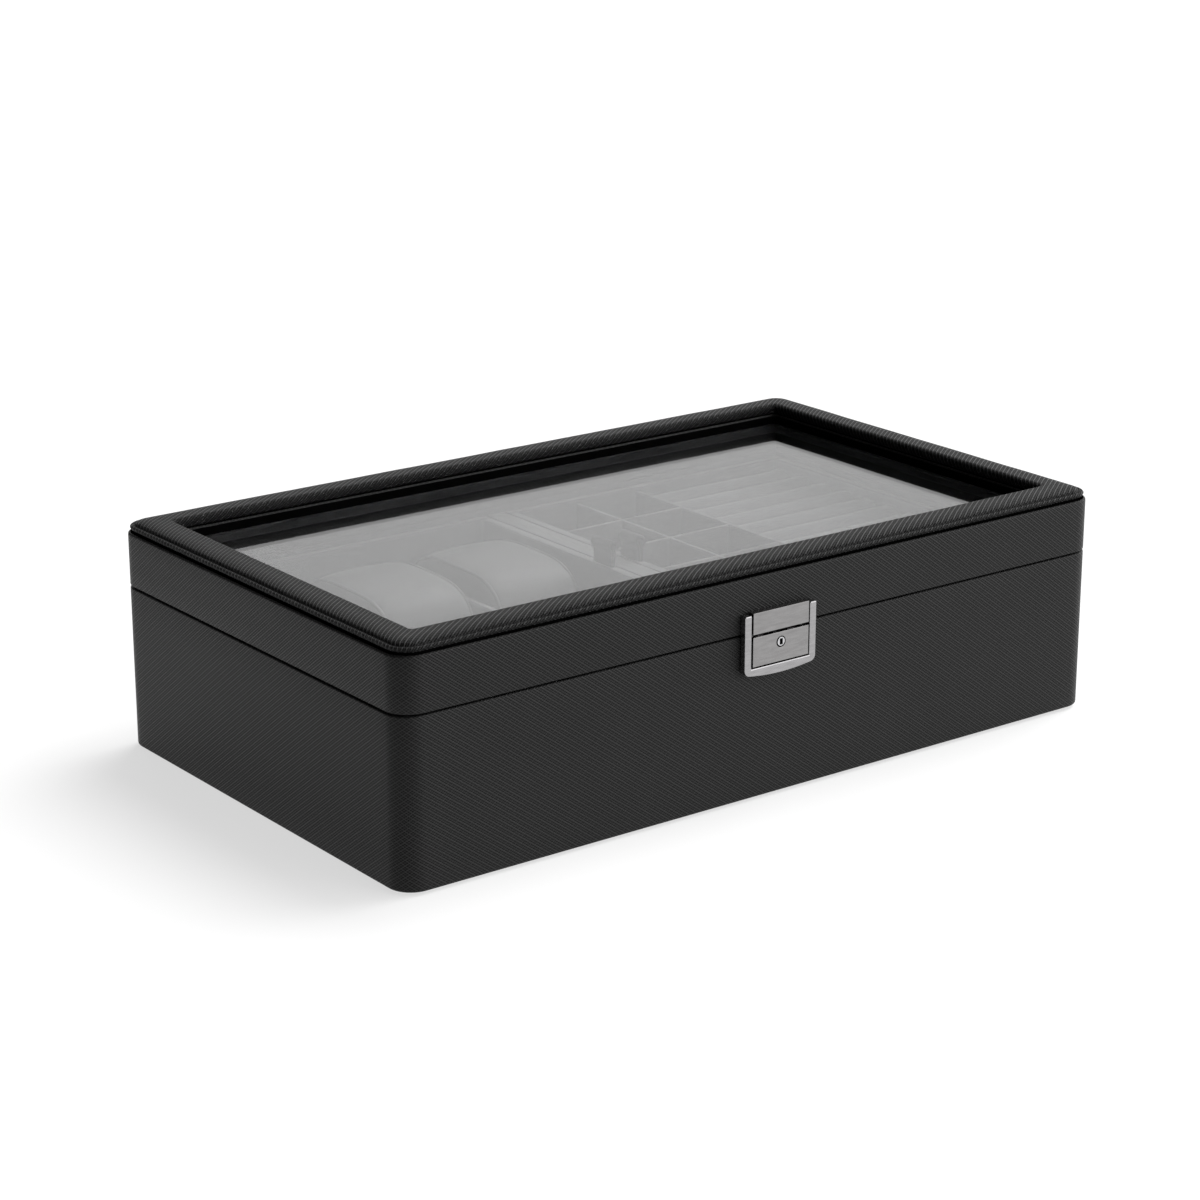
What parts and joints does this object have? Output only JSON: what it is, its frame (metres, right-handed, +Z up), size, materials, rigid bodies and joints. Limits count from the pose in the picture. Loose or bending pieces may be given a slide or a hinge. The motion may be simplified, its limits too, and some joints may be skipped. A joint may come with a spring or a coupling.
{
  "type": "watch box",
  "caption": "Leather-covered watch box with a hinged glass lid and a locking front latch; lift-out trays inside hold watch cushions, ring rolls and small cells.",
  "frame": {"origin": "centre of the box's outline on the surface that it stands on, under the felt", "axes": "+X to the right along the box's width, +Y to the back where the hinges are, +Z up; the latch is at the front, towards -Y"},
  "size_m": [0.34, 0.2081, 0.0945],
  "materials": {
    "black_leather": "black embossed twill, satin",
    "smooth_leather": "smooth black, soft satin",
    "lining_cloth": "dark grey fine suede cloth",
    "felt": "black felt",
    "board": "raw fibreboard",
    "foam": "soft foam",
    "clear_glass": "polished clear",
    "gunmetal": "satin gunmetal",
    "steel": "bright steel"
  },
  "bodies": {
    "base": {"base_felt": "felt", "base_board": "board", "base_frame": "board", "base_cover": "black_leather", "base_lining": "lining_cloth", "floor_lining": "lining_cloth", "centre_partition": "lining_cloth", "watch_tray_ledges": "lining_cloth", "jewellery_tray_ledges": "lining_cloth", "latch_frame": "gunmetal", "lock_case": "gunmetal", "push_spring": "steel", "hinge_base_leaf_left": "gunmetal", "hinge_base_leaf_right": "gunmetal", "hinge_pin_left": "steel", "hinge_pin_right": "steel", "hinge_base_screws": "steel"},
    "lid": {"lid_sides": "board", "lid_top_rails": "board", "lid_cover": "black_leather", "lid_lining": "lining_cloth", "glass_pane": "clear_glass", "glass_retainer": "lining_cloth", "pad_foam": "foam", "pad_cover": "black_leather", "pad_piping": "black_leather", "strike_plate": "gunmetal", "strike_tongue": "gunmetal", "hinge_lid_leaf_left": "gunmetal", "hinge_lid_leaf_right": "gunmetal", "hinge_lid_screws": "steel"},
    "watch_tray": {"watch_tray_walls": "lining_cloth", "watch_tray_floor": "lining_cloth", "watch_long_divider": "lining_cloth", "watch_cross_dividers": "lining_cloth", "watch_tray_tab": "smooth_leather"},
    "jewellery_tray": {"jewellery_tray_walls": "lining_cloth", "jewellery_tray_floor": "lining_cloth", "cell_column_divider": "lining_cloth", "cell_row_dividers": "lining_cloth", "ring_divider": "lining_cloth", "ring_rolls": "lining_cloth", "jewellery_tray_tab": "smooth_leather"},
    "push_plate": {"push_plate": "gunmetal"},
    "key_barrel": {"key_cylinder": "steel", "lock_cam": "gunmetal"},
    "cushion_1": {"watch_cushion_1": "smooth_leather"},
    "cushion_2": {"watch_cushion_2": "smooth_leather"},
    "cushion_3": {"watch_cushion_3": "smooth_leather"},
    "cushion_4": {"watch_cushion_4": "smooth_leather"},
    "cushion_5": {"watch_cushion_5": "smooth_leather"},
    "cushion_6": {"watch_cushion_6": "smooth_leather"}
  },
  "joints": [
    {"name": "lid_hinge", "type": "hinge", "parent": "base", "child": "lid", "pos_m": [0, 0.1026, 0.068], "axis": [-1, 0, 0], "range_deg": [0, 100]},
    {"name": "watch_tray_lift", "type": "slide", "parent": "base", "child": "watch_tray", "axis": [0, 0, 1], "range_m": [0, 0.005]},
    {"name": "jewellery_tray_lift", "type": "slide", "parent": "base", "child": "jewellery_tray", "axis": [0, 0, 1], "range_m": [0, 0.005]},
    {"name": "push_plate_press", "type": "slide", "parent": "base", "child": "push_plate", "axis": [0, 1, 0], "range_m": [0, 0.0015], "stiffness_N_per_m": 400, "springref_m": -0.002},
    {"name": "key_turn", "type": "hinge", "parent": "base", "child": "key_barrel", "pos_m": [0, -0.1, 0.0634], "axis": [0, 1, 0], "range_deg": [0, 90]},
    {"name": "cushion_1_lift", "type": "slide", "parent": "watch_tray", "child": "cushion_1", "axis": [0, 0, 1], "range_m": [0, 0.01]},
    {"name": "cushion_2_lift", "type": "slide", "parent": "watch_tray", "child": "cushion_2", "axis": [0, 0, 1], "range_m": [0, 0.01]},
    {"name": "cushion_3_lift", "type": "slide", "parent": "watch_tray", "child": "cushion_3", "axis": [0, 0, 1], "range_m": [0, 0.01]},
    {"name": "cushion_4_lift", "type": "slide", "parent": "watch_tray", "child": "cushion_4", "axis": [0, 0, 1], "range_m": [0, 0.01]},
    {"name": "cushion_5_lift", "type": "slide", "parent": "watch_tray", "child": "cushion_5", "axis": [0, 0, 1], "range_m": [0, 0.01]},
    {"name": "cushion_6_lift", "type": "slide", "parent": "watch_tray", "child": "cushion_6", "axis": [0, 0, 1], "range_m": [0, 0.01]}
  ]
}
